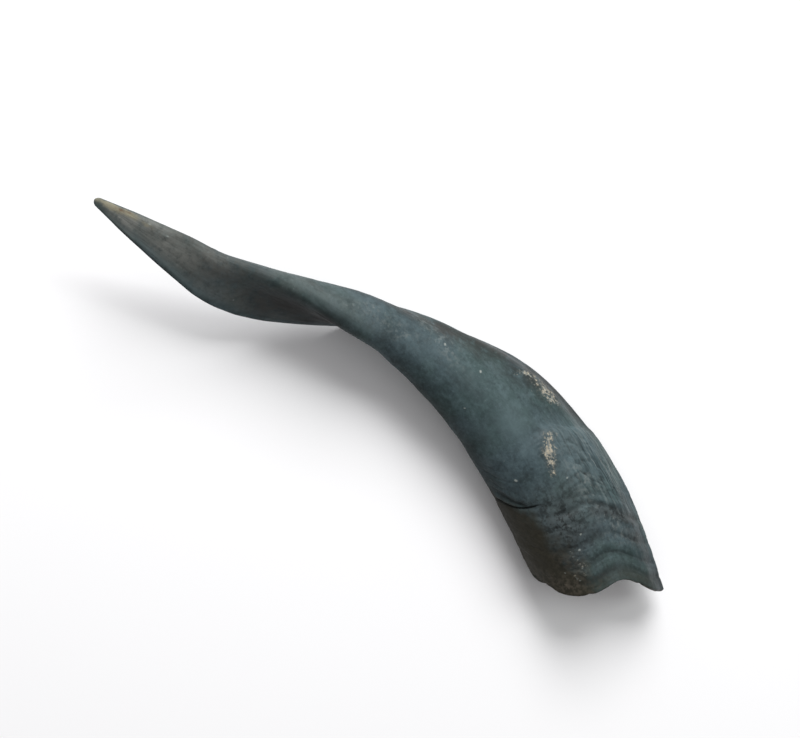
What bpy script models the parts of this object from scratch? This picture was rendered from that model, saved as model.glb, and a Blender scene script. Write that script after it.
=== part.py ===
"""A goat horn: the hollow outer sheath, from its wavy open rim to its worn tip.

The horn grew as one piece, so it is one object. Its middle line is a smooth curve through
a few stations, drawn as the horn is seen from its outer side. Each station has an oval
section with a thin front edge (the keel), a rounded back edge that rolls over the inner
face, and a dished inner face. The section turns about the middle line towards the tip,
which gives the horn its half twist. The finished sheath is then tipped over onto its inner
side, where it lies still.

Units are metres. Angles round a section are in degrees: 0 at the keel, 90 in the middle of
the outer face, 180 at the back edge and 270 in the middle of the inner face.
"""
from math import radians
from typing import NamedTuple

import bmesh
import bpy
import numpy as np
from mathutils import Euler


class Station(NamedTuple):
    """One section of the horn."""
    x: float                # along the horn, as seen from its outer side
    y: float                # up, as seen from its outer side
    z: float                # towards the viewer
    half_width: float       # keel to back edge, halved
    half_thickness: float   # outer face from the middle line
    twist: float            # degrees that the section has turned
    cup: float              # how far keel and back edge bend inwards, as a share of half_width
    hollow: float           # how much of the inner face's dish and rolled edge is there


STATIONS = (
    Station(0.0973, -0.1130, -0.0310, 0.0253, 0.0190, 16, 0.06, 1.0),
    Station(0.0874, -0.0880, -0.0290, 0.0277, 0.0192, 18, 0.06, 1.0),
    Station(0.0755, -0.0615, -0.0270, 0.0290, 0.0190, 20, 0.08, 1.0),
    Station(0.0612, -0.0372, -0.0240, 0.0276, 0.0180, 24, 0.10, 1.0),
    Station(0.0464, -0.0178, -0.0210, 0.0260, 0.0160, 29, 0.13, 1.0),
    Station(0.0217, 0.0023, -0.0140, 0.0213, 0.0132, 43, 0.17, 1.0),
    Station(-0.0040, 0.0165, -0.0060, 0.0162, 0.0127, 66, 0.16, 1.0),
    Station(-0.0235, 0.0219, 0.0020, 0.0152, 0.0127, 100, 0.20, 1.0),
    Station(-0.0415, 0.0273, 0.0090, 0.0143, 0.0106, 123, 0.18, 1.0),
    Station(-0.0595, 0.0322, 0.0170, 0.0134, 0.0082, 144, 0.18, 0.9),
    Station(-0.0765, 0.0381, 0.0250, 0.0117, 0.0062, 160, 0.12, 0.6),
    Station(-0.0910, 0.0471, 0.0340, 0.0091, 0.0050, 171, 0.07, 0.35),
    Station(-0.1103, 0.0597, 0.0480, 0.0050, 0.0033, 178, 0.06, 0.2),
    Station(-0.1235, 0.0684, 0.0570, 0.0016, 0.0013, 180, 0.00, 0.0),
)

# Section
KEEL_SHARPNESS = 0.72        # share of the thickness lost at the keel
INNER_THICKNESS = 0.62       # inner face from the middle line, as a share of half_thickness
INNER_DISH = 0.30            # hollow in the middle of the inner face
SHOULDER_HEIGHT = 0.16       # soft ridge beside the keel on the outer face
SHOULDER_ANGLE = 52.0
SHOULDER_SPREAD = 16.0
ROLL_HEIGHT = 0.24           # back edge rolled over the inner face
ROLL_ANGLE = 226.0
ROLL_SPREAD = 36.0
CUP_STILL = 0.4              # the cup leaves the section's middle where it was

# Growing edge at the open base, as how far it stands in from the base end
RIM_AT_KEEL = 0.0057
RIM_AT_BACK = 0.0193
RIM_NOTCH = 0.0066
RIM_NOTCH_ANGLE = 82.0
RIM_NOTCH_SPREAD = 26.0
RIM_CORNER = 0.0128
RIM_CORNER_ANGLE = 184.0
RIM_CORNER_SPREAD = 26.0
RIM_INNER_FACE = 0.010
RIM_FULL_TO = 0.060          # growth lines run parallel to the rim up to here
RIM_GONE_BY = 0.200          # and square across the horn from here

# Growth lines, as distances from the rim
COLLAR_AT = 0.076            # where the thicker base begins
COLLAR_HEIGHT = 0.0012
COLLAR_RISE = 0.005          # length of its step up
COLLAR_LENGTH = 0.026        # length over which it dies away again
COLLAR_FADES = (70.0, 130.0)
COLLAR_BACK_SHARE = 0.2      # height left at the back edge
COLLAR_KEEL_SHARE = 0.4      # and at the keel
RINGS = (                    # distance, lag at the back edge, depth
    (0.0310, 0.011, 0.00050),
    (0.0210, 0.001, 0.00035),
    (0.0130, 0.000, 0.00040),
    (0.0060, 0.000, 0.00025),
)
RING_WIDTH = 0.0018
RING_LIP = 0.5               # swelling on the rim side of each line, as a share of its depth
RING_LIP_SETBACK = 0.0040
RING_LIP_WIDTH = 0.0025
RING_FADES = (100.0, 150.0)
RING_BACK_SHARE = 0.35
RING_KEEL_SHARE = 0.25
KEEL_FADES = (4.0, 32.0)     # all growth relief is lower from the faces to the keel
CREASE = (0.0360, 0.011, 0.0010)   # one line cuts deep, near the back edge only
CREASE_ANGLE = 152.0
CREASE_SPREAD = 24.0

TIP_RADIUS = 0.0018          # the worn tip ends in a round cap of this length

# Hollow
CAVITY_LENGTH = 0.190
CAVITY_DEEPEST = 0.98        # last ring, as a share of that length
CAVITY_TAPER = 2.2           # powers that round the hollow's closed end
CAVITY_ROUND = 0.8
WALL_SHARE = 0.80            # size of the hollow against the outside
RIM_SHARE = 0.91             # the wall thins towards the rim
RIM_THIN_LENGTH = 0.020

# Resting pose
REST_ROLL = 3.89
REST_PITCH = -16.44
REST_YAW = 67.31               # the mouth opens towards +X

# Facets
COLUMNS = 48
STEP_ALONG = 0.0002          # for reading directions off the curves
STEP_ROUND = radians(1)
BASE_LENGTH = 0.100
BASE_ROWS = 46
TIP_ROWS = 29
TIP_CAP_ROWS = 3
CAVITY_ROWS = 18
SHARP_ANGLE = 50.0

HORN_COLOUR = (0.075, 0.095, 0.100, 1.0)
HORN_ROUGHNESS = 0.45


def curve_through(knots, values, at):
    """Read a smooth curve through the rows of values, given at the knots."""
    gaps = np.diff(knots)
    slopes = np.diff(values, axis=0) / gaps[:, None]
    tangents = np.empty_like(values)
    weight_before = (gaps[1:] / (gaps[:-1] + gaps[1:]))[:, None]
    tangents[1:-1] = slopes[:-1] * weight_before + slopes[1:] * (1 - weight_before)
    tangents[0] = 1.5 * slopes[0] - 0.5 * tangents[1]
    tangents[-1] = 1.5 * slopes[-1] - 0.5 * tangents[-2]
    before = np.clip(np.searchsorted(knots, at, side="right") - 1, 0, len(gaps) - 1)
    gap = gaps[before][..., None]
    t = (at - knots[before])[..., None] / gap
    start = (1 + 2 * t) * (1 - t) ** 2 * values[before] + t * (1 - t) ** 2 * gap * tangents[before]
    end = t * t * (3 - 2 * t) * values[before + 1] + t * t * (t - 1) * gap * tangents[before + 1]
    return start + end


def hump(angle, middle, spread):
    """A smooth hump round the section, 1 at its middle."""
    away = (np.degrees(angle) - middle + 180) % 360 - 180
    return np.exp(-(away / spread) ** 2)


def ease(t):
    """0 up to t = 0, 1 from t = 1, and smooth between."""
    t = np.clip(t, 0, 1)
    return t * t * (3 - 2 * t)


def section(angle, half_width, half_thickness, cup, hollow):
    """Give the outline of one section, towards the keel and towards the outer face."""
    to_keel = half_width * np.cos(angle)
    thin = 1 - KEEL_SHARPNESS * ((1 + np.cos(angle)) / 2) ** 2
    to_outer = half_thickness * np.sin(angle) * thin
    dish = INNER_THICKNESS * (1 - INNER_DISH * hollow * np.sin(angle) ** 2)
    to_outer = np.where(np.sin(angle) < 0, to_outer * dish, to_outer)
    shoulder = SHOULDER_HEIGHT * hump(angle, SHOULDER_ANGLE, SHOULDER_SPREAD)
    roll = ROLL_HEIGHT * hollow * hump(angle, ROLL_ANGLE, ROLL_SPREAD)
    to_outer = to_outer + half_thickness * (shoulder - roll)
    to_outer = to_outer - cup * half_width * (np.cos(angle) ** 2 - CUP_STILL)
    return to_keel, to_outer


def rim_offset(angle):
    """How far the growing edge stands in from the base end, round the horn."""
    to_back = (1 - np.cos(angle)) / 2
    inner_face = np.where(np.sin(angle) < 0, np.sin(angle) ** 2, 0)
    return (
        RIM_AT_KEEL
        + RIM_AT_BACK * to_back
        + RIM_NOTCH * hump(angle, RIM_NOTCH_ANGLE, RIM_NOTCH_SPREAD)
        + RIM_CORNER * hump(angle, RIM_CORNER_ANGLE, RIM_CORNER_SPREAD)
        + RIM_INNER_FACE * inner_face
    )


def fade_to_back(angle, between, left):
    """1 near the keel, and the share left at the back edge, smooth between two angles."""
    first, last = between
    return 1 - (1 - left) * ease((angle_from_keel(angle) - first) / (last - first))


def fade_to_keel(angle, left):
    """1 on the faces, and the share left at the keel."""
    first, last = KEEL_FADES
    return left + (1 - left) * ease((angle_from_keel(angle) - first) / (last - first))


def growth_relief(grown, angle):
    """Height of the collar, the growth lines and the crease over the smooth form."""
    past_step = COLLAR_AT - grown
    collar = ease(past_step / COLLAR_RISE) * (1 - ease((past_step - COLLAR_RISE) / COLLAR_LENGTH))
    collar = collar * fade_to_keel(angle, COLLAR_KEEL_SHARE)
    relief = COLLAR_HEIGHT * collar * fade_to_back(angle, COLLAR_FADES, COLLAR_BACK_SHARE)
    front = fade_to_back(angle, RING_FADES, RING_BACK_SHARE) * fade_to_keel(angle, RING_KEEL_SHARE)
    for ring in RINGS:
        groove, lip = growth_line(grown, angle, ring)
        relief = relief + (RING_LIP * lip - groove) * front
    crease, _ = growth_line(grown, angle, CREASE)
    return relief - crease * hump(angle, CREASE_ANGLE, CREASE_SPREAD)


def growth_line(grown, angle, line):
    """Depth of a line's groove, and height of a full swelling on its rim side."""
    distance, lag, depth = line
    past_line = grown - distance - lag * (1 - np.cos(angle)) / 2
    groove = np.exp(-(past_line / RING_WIDTH) ** 2)
    lip = np.exp(-((past_line + RING_LIP_SETBACK) / RING_LIP_WIDTH) ** 2)
    return depth * groove, depth * lip


def angle_from_keel(angle):
    """Degrees from the keel, either way round."""
    return np.abs((np.degrees(angle) + 180) % 360 - 180)


def middle_line():
    """Give the distances of the stations along the middle line, and their values."""
    values = np.array(STATIONS)
    steps = np.linalg.norm(np.diff(values[:, :3], axis=0), axis=1)
    return np.concatenate([[0], np.cumsum(steps)]), values


def sheath_points(grown, angle, share=1.0, relief=0.0):
    """Place points of the sheath.

    grown is the distance from the rim, angle the place round the section, share the size
    against the outside, and relief the height over the smooth form.
    """
    knots, values = middle_line()
    fade = 1 - ease((grown - RIM_FULL_TO) / (RIM_GONE_BY - RIM_FULL_TO))
    along = np.minimum(grown + rim_offset(angle) * fade, knots[-1])
    row = curve_through(knots, values, along)
    ahead = curve_through(knots, values[:, :3], np.minimum(along + STEP_ALONG, knots[-1]))
    behind = curve_through(knots, values[:, :3], np.maximum(along - STEP_ALONG, 0))
    forward = ahead - behind
    forward /= np.linalg.norm(forward, axis=-1, keepdims=True)
    sideways = np.cross((0.0, 0.0, 1.0), forward)
    sideways /= np.linalg.norm(sideways, axis=-1, keepdims=True)
    lifted = np.cross(forward, sideways)
    twist = np.radians(row[..., 5])[..., None]
    to_back = np.cos(twist) * sideways + np.sin(twist) * lifted
    outwards = np.cos(twist) * lifted - np.sin(twist) * sideways

    size = row[..., 3], row[..., 4], row[..., 6], row[..., 7]
    p, q = section(angle, *size)
    p_next, q_next = section(angle + STEP_ROUND, *size)
    p_last, q_last = section(angle - STEP_ROUND, *size)
    length = np.hypot(p_next - p_last, q_next - q_last)
    p = p + relief * (q_next - q_last) / length
    q = q - relief * (p_next - p_last) / length
    middle = row[..., 4] * (1 - INNER_THICKNESS * (1 - INNER_DISH)) / 2
    past_cap = (grown - knots[-1] + TIP_RADIUS) / TIP_RADIUS
    share = share * np.sqrt(1 - np.clip(past_cap, 0, 1) ** 2)
    p = p * share
    q = middle + (q - middle) * share
    return row[..., :3] - to_back * p[..., None] + outwards * q[..., None]


def outer_rows():
    """Distances of the outside's rings of points from the rim: close together at the base."""
    cap_start = middle_line()[0][-1] - TIP_RADIUS
    base = np.linspace(0, BASE_LENGTH, BASE_ROWS, endpoint=False)
    tip = np.linspace(BASE_LENGTH, cap_start, TIP_ROWS)
    turn = np.linspace(0, np.pi / 2, TIP_CAP_ROWS + 2)[1:-1]
    return np.concatenate([base, tip, cap_start + TIP_RADIUS * np.sin(turn)])


def outside():
    """Points of the outside, rim to tip."""
    grown, angle = np.meshgrid(outer_rows(), column_angles(), indexing="ij")
    return sheath_points(grown, angle, relief=growth_relief(grown, angle))


def hollow():
    """Points of the hollow, rim to its closed end."""
    deep = np.linspace(0, CAVITY_DEEPEST, CAVITY_ROWS)
    deep, angle = np.meshgrid(deep, column_angles(), indexing="ij")
    grown = deep * CAVITY_LENGTH
    thinned = (RIM_SHARE - WALL_SHARE) * (1 - ease(grown / RIM_THIN_LENGTH))
    share = (WALL_SHARE + thinned) * (1 - deep ** CAVITY_TAPER) ** CAVITY_ROUND
    return sheath_points(grown, angle, share=share)


def column_angles():
    """Places of the points round each section, keel first."""
    return np.arange(COLUMNS) * 2 * np.pi / COLUMNS


def laid_down(points):
    """Turn points from the drawing's frame to the resting pose."""
    turn = Euler((radians(REST_ROLL), radians(REST_PITCH), radians(REST_YAW)), "XYZ")
    return points @ np.array(turn.to_matrix()).T


def add_rings(mesh, points):
    """Add the points to the mesh, ring by ring."""
    return [[mesh.verts.new(point) for point in ring] for ring in points]


def join_rings(mesh, first, second):
    """Fill the strip between two rings of points."""
    for column in range(COLUMNS):
        after = (column + 1) % COLUMNS
        mesh.faces.new((first[column], first[after], second[after], second[column]))


def close_ring(mesh, ring, point):
    """Close a ring with a fan round one more point."""
    apex = mesh.verts.new(point)
    for column in range(COLUMNS):
        mesh.faces.new((ring[column], ring[(column + 1) % COLUMNS], apex))


def horn_mesh():
    """Build the closed mesh of the sheath, hollow at its base."""
    outer = laid_down(outside())
    inner = laid_down(hollow())
    lift = [
        -(outer[..., 0].min() + outer[..., 0].max()) / 2,
        -(outer[..., 1].min() + outer[..., 1].max()) / 2,
        -outer[..., 2].min(),
    ]
    outer = outer + lift
    inner = inner + lift
    mesh = bmesh.new()
    outer_rings = add_rings(mesh, outer)
    inner_rings = add_rings(mesh, inner)
    for first, second in zip(outer_rings, outer_rings[1:]):
        join_rings(mesh, first, second)
    for first, second in zip(inner_rings, inner_rings[1:]):
        join_rings(mesh, second, first)
    join_rings(mesh, inner_rings[0], outer_rings[0])
    tip = laid_down(sheath_points(np.array(middle_line()[0][-1]), np.array(0.0))) + lift
    close_ring(mesh, outer_rings[-1], tip)
    close_ring(mesh, inner_rings[-1][::-1], inner[-1].mean(axis=0))
    bmesh.ops.recalc_face_normals(mesh, faces=mesh.faces)
    bmesh.ops.triangulate(mesh, faces=mesh.faces)
    data = bpy.data.meshes.new("horn")
    mesh.to_mesh(data)
    mesh.free()
    return data


def horn_material():
    """Dark slate horn with a worn satin face."""
    material = bpy.data.materials.new("horn")
    material.use_nodes = True
    shader = material.node_tree.nodes["Principled BSDF"]
    shader.inputs["Base Color"].default_value = HORN_COLOUR
    shader.inputs["Roughness"].default_value = HORN_ROUGHNESS
    shader.inputs["Metallic"].default_value = 0.0
    return material


def main():
    """Clear the scene and make the horn."""
    for old in list(bpy.data.objects):
        bpy.data.objects.remove(old)
    horn = bpy.data.objects.new("horn", horn_mesh())
    horn.data.materials.append(horn_material())
    horn.data.shade_smooth()
    horn.data.set_sharp_from_angle(angle=radians(SHARP_ANGLE))
    bpy.context.scene.collection.objects.link(horn)


main()
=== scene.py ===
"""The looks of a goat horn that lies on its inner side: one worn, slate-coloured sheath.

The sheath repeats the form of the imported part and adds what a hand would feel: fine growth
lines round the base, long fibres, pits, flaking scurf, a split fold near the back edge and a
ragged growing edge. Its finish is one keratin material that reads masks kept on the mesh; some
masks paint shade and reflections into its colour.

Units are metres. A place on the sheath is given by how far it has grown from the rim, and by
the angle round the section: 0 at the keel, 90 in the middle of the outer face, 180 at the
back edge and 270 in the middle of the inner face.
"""

import logging
from dataclasses import dataclass, field
from enum import Enum
from math import radians

import bpy
import numpy as np
from mathutils import Euler, Matrix, Vector, noise


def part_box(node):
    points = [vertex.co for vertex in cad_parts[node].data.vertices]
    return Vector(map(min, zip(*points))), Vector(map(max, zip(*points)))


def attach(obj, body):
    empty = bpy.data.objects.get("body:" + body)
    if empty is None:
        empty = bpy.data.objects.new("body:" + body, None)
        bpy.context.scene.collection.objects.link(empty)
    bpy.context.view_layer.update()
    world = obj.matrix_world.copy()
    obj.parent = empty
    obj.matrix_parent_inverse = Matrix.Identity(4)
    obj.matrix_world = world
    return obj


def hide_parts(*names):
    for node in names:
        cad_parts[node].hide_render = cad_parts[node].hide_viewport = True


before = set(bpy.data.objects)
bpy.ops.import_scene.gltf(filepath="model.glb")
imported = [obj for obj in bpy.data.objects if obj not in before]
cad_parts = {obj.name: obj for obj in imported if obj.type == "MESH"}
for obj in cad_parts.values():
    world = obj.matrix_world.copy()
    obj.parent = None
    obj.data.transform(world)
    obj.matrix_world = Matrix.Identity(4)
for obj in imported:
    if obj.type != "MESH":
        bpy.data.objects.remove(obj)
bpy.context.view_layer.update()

LOG = logging.getLogger("goat_horn")

Colour = tuple[float, float, float]


def ease(t: np.ndarray) -> np.ndarray:
    """Rise smoothly from 0 at t = 0 to 1 at t = 1."""
    t = np.clip(t, 0, 1)
    return t * t * (3 - 2 * t)


def rise(value: np.ndarray, first: float | np.ndarray, last: float | np.ndarray) -> np.ndarray:
    """Rise smoothly from 0 where the value is first to 1 where it is last."""
    return ease((value - first) / (last - first))


def degrees_from(angle: np.ndarray, middle: float | np.ndarray) -> np.ndarray:
    """Give the degrees round the section from a middle, between -180 and 180."""
    return (np.degrees(angle) - middle + 180) % 360 - 180


def hump(angle: np.ndarray, middle: float, spread: float) -> np.ndarray:
    """Give a smooth hump round the section, with its middle and spread in degrees."""
    return np.exp(-(degrees_from(angle, middle) / spread) ** 2)


def angle_from_keel(angle: np.ndarray) -> np.ndarray:
    """Give the degrees from the keel, either way round."""
    return np.abs(degrees_from(angle, 0))


def round_share(angle: np.ndarray) -> np.ndarray:
    """Give 0 at the keel and 1 at the back edge."""
    return (1 - np.cos(angle)) / 2


@dataclass(frozen=True)
class Station:
    """One section of the horn, drawn as the horn is seen from its outer side."""

    x: float
    y: float
    z: float                # towards the viewer
    half_width: float       # keel to back edge, halved
    half_thickness: float   # outer face from the middle line
    twist: float            # degrees that the section has turned
    cup: float              # how far keel and back edge bend inwards
    hollow: float           # how much of the inner face's dish and rolled edge is there


@dataclass(frozen=True)
class HornForm:
    """The smooth form of the sheath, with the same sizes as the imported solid."""

    stations: tuple[Station, ...] = (
        Station(0.0973, -0.1130, -0.0310, 0.0253, 0.0190, 16, 0.06, 1.0),
        Station(0.0874, -0.0880, -0.0290, 0.0277, 0.0192, 18, 0.06, 1.0),
        Station(0.0755, -0.0615, -0.0270, 0.0290, 0.0190, 20, 0.08, 1.0),
        Station(0.0612, -0.0372, -0.0240, 0.0276, 0.0180, 24, 0.10, 1.0),
        Station(0.0464, -0.0178, -0.0210, 0.0260, 0.0160, 29, 0.13, 1.0),
        Station(0.0217, 0.0023, -0.0140, 0.0213, 0.0132, 43, 0.17, 1.0),
        Station(-0.0040, 0.0165, -0.0060, 0.0162, 0.0127, 66, 0.16, 1.0),
        Station(-0.0235, 0.0219, 0.0020, 0.0152, 0.0127, 100, 0.20, 1.0),
        Station(-0.0415, 0.0273, 0.0090, 0.0143, 0.0106, 123, 0.18, 1.0),
        Station(-0.0595, 0.0322, 0.0170, 0.0134, 0.0082, 144, 0.18, 0.9),
        Station(-0.0765, 0.0381, 0.0250, 0.0117, 0.0062, 160, 0.12, 0.6),
        Station(-0.0910, 0.0471, 0.0340, 0.0091, 0.0050, 171, 0.07, 0.35),
        Station(-0.1103, 0.0597, 0.0480, 0.0050, 0.0033, 178, 0.06, 0.2),
        Station(-0.1235, 0.0684, 0.0570, 0.0016, 0.0013, 180, 0.00, 0.0),
    )
    keel_sharpness: float = 0.72
    inner_thickness: float = 0.62
    inner_dish: float = 0.30
    shoulder: tuple[float, float, float] = (0.16, 52.0, 16.0)   # height, angle, spread
    roll: tuple[float, float, float] = (0.24, 226.0, 36.0)
    cup_still: float = 0.4
    rim_at_keel: float = 0.0057
    rim_at_back: float = 0.0193
    rim_notch: tuple[float, float, float] = (0.0066, 82.0, 26.0)
    rim_corner: tuple[float, float, float] = (0.0128, 184.0, 26.0)
    rim_inner_face: float = 0.010
    rim_full_to: float = 0.060
    rim_gone_by: float = 0.200
    tip_radius: float = 0.0018
    step_along: float = 0.0002
    step_round: float = radians(1)

    def middle_line(self) -> tuple[np.ndarray, np.ndarray]:
        """Measure the line through the middles of the stations.

        Returns:
            The stations' distances along it, and one row of values for each station.
        """
        values = np.array([
            (s.x, s.y, s.z, s.half_width, s.half_thickness, s.twist, s.cup, s.hollow) for s in self.stations
        ])
        steps = np.linalg.norm(np.diff(values[:, :3], axis=0), axis=1)
        return np.concatenate([[0], np.cumsum(steps)]), values

    @property
    def length(self) -> float:
        """Length of the middle line."""
        return float(self.middle_line()[0][-1])

    def half_width(self, grown: np.ndarray) -> np.ndarray:
        """Give half of the distance from keel to back edge, at distances from the rim."""
        knots, values = self.middle_line()
        return self.curve_through(knots, values[:, 3:4], np.clip(grown, 0, knots[-1]))[..., 0]

    @staticmethod
    def curve_through(knots: np.ndarray, values: np.ndarray, at: np.ndarray) -> np.ndarray:
        """Read a smooth curve through rows of values.

        Args:
            knots: distances at which the values are given.
            values: one row for each knot.
            at: distances to read.

        Returns:
            The values there, in a last axis of their own.
        """
        gaps = np.diff(knots)
        slopes = np.diff(values, axis=0) / gaps[:, None]
        tangents = np.empty_like(values)
        before_share = (gaps[1:] / (gaps[:-1] + gaps[1:]))[:, None]
        tangents[1:-1] = slopes[:-1] * before_share + slopes[1:] * (1 - before_share)
        # The curve straightens out at both ends
        tangents[0] = 1.5 * slopes[0] - 0.5 * tangents[1]
        tangents[-1] = 1.5 * slopes[-1] - 0.5 * tangents[-2]
        before = np.clip(np.searchsorted(knots, at, side="right") - 1, 0, len(gaps) - 1)
        gap = gaps[before][..., None]
        t = (at - knots[before])[..., None] / gap
        start = (1 + 2 * t) * (1 - t) ** 2 * values[before] + t * (1 - t) ** 2 * gap * tangents[before]
        end = t * t * (3 - 2 * t) * values[before + 1] + t * t * (t - 1) * gap * tangents[before + 1]
        return start + end

    def section(
        self, angle: np.ndarray, half_width: np.ndarray, half_thickness: np.ndarray,
        cup: np.ndarray, hollow: np.ndarray,
    ) -> tuple[np.ndarray, np.ndarray]:
        """Give the outline of one section.

        Args:
            angle: places round the section, in radians.
            half_width: keel to back edge, halved.
            half_thickness: outer face from the middle line.
            cup: how far keel and back edge bend inwards, as a share of half_width.
            hollow: how much of the inner face's dish and rolled edge is there.

        Returns:
            Distances towards the keel, and towards the outer face.
        """
        to_keel = half_width * np.cos(angle)
        thin = 1 - self.keel_sharpness * ((1 + np.cos(angle)) / 2) ** 2
        to_outer = half_thickness * np.sin(angle) * thin
        dish = self.inner_thickness * (1 - self.inner_dish * hollow * np.sin(angle) ** 2)
        to_outer = np.where(np.sin(angle) < 0, to_outer * dish, to_outer)
        raised = self.shoulder[0] * hump(angle, *self.shoulder[1:])
        rolled = self.roll[0] * hollow * hump(angle, *self.roll[1:])
        to_outer = to_outer + half_thickness * (raised - rolled)
        to_outer = to_outer - cup * half_width * (np.cos(angle) ** 2 - self.cup_still)
        return to_keel, to_outer

    def rim_offset(self, angle: np.ndarray) -> np.ndarray:
        """Give how far the growing edge stands in from the base end, round the horn.

        Args:
            angle: places round the section, in radians.

        Returns:
            Distances from the base end.
        """
        inner_face = np.where(np.sin(angle) < 0, np.sin(angle) ** 2, 0)
        return (
            self.rim_at_keel
            + self.rim_at_back * round_share(angle)
            + self.rim_notch[0] * hump(angle, *self.rim_notch[1:])
            + self.rim_corner[0] * hump(angle, *self.rim_corner[1:])
            + self.rim_inner_face * inner_face
        )

    def tip_rounding(self, grown: np.ndarray) -> np.ndarray:
        """Give the size that the rounded tip leaves, 1 over all the rest of the horn."""
        past = (grown - self.length + self.tip_radius) / self.tip_radius
        return np.sqrt(1 - np.clip(past, 0, 1) ** 2)

    def points(
        self, grown: np.ndarray, angle: np.ndarray, share: np.ndarray, relief: np.ndarray
    ) -> np.ndarray:
        """Place points of the sheath, in the frame of the outer side's drawing.

        Args:
            grown: distances from the rim.
            angle: places round the section, in radians.
            share: size against the outside.
            relief: height over the smooth form.

        Returns:
            The points, in a last axis of their own.
        """
        knots, values = self.middle_line()
        fade = 1 - rise(grown, self.rim_full_to, self.rim_gone_by)
        along = np.clip(grown + self.rim_offset(angle) * fade, 0, knots[-1])
        row = self.curve_through(knots, values, along)
        line = values[:, :3]
        forward = self.curve_through(knots, line, np.minimum(along + self.step_along, knots[-1]))
        forward -= self.curve_through(knots, line, np.maximum(along - self.step_along, 0))
        forward /= np.linalg.norm(forward, axis=-1, keepdims=True)
        sideways = np.cross((0.0, 0.0, 1.0), forward)
        sideways /= np.linalg.norm(sideways, axis=-1, keepdims=True)
        lifted = np.cross(forward, sideways)
        twist = np.radians(row[..., 5])[..., None]
        to_back = np.cos(twist) * sideways + np.sin(twist) * lifted
        outwards = np.cos(twist) * lifted - np.sin(twist) * sideways

        size = row[..., 3], row[..., 4], row[..., 6], row[..., 7]
        p, q = self.section(angle, *size)
        p_next, q_next = self.section(angle + self.step_round, *size)
        p_last, q_last = self.section(angle - self.step_round, *size)
        length = np.hypot(p_next - p_last, q_next - q_last)
        p = p + relief * (q_next - q_last) / length
        q = q - relief * (p_next - p_last) / length
        middle = row[..., 4] * (1 - self.inner_thickness * (1 - self.inner_dish)) / 2
        share = share * self.tip_rounding(grown)
        p = p * share
        q = middle + (q - middle) * share
        return row[..., :3] - to_back * p[..., None] + outwards * q[..., None]


@dataclass(frozen=True)
class Grain:
    """Smooth, repeatable unevenness over the sheath, stretched along or round it."""

    along: float            # length of one swell along the horn
    across: float           # length of one swell round it, where it is widest
    offset: float           # shifts this grain away from the others
    layers: int = 3
    radius: float = 0.024   # round distances are measured at this radius

    def at(self, grown: np.ndarray, angle: np.ndarray) -> np.ndarray:
        """Read the grain.

        Args:
            grown: distances from the rim.
            angle: places round the section, in radians.

        Returns:
            Heights, mostly from -1 to 1.
        """
        spots = np.stack([
            grown / self.along + self.offset,
            np.cos(angle) * self.radius / self.across,
            np.sin(angle) * self.radius / self.across + self.offset,
        ], axis=-1).reshape(-1, 3)
        heights = [noise.fractal(spot, 1.0, 2.0, self.layers) for spot in spots.tolist()]
        return np.array(heights).reshape(grown.shape)


@dataclass(frozen=True)
class GrowthLine:
    """A groove parallel to the rim, with a swelling on its rim side."""

    distance: float
    lag: float              # how much further from the rim it runs at the back edge
    depth: float

    def past(self, grown: np.ndarray, angle: np.ndarray) -> np.ndarray:
        """Give how far each place is beyond the line, away from the rim."""
        return grown - self.distance - self.lag * round_share(angle)


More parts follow.
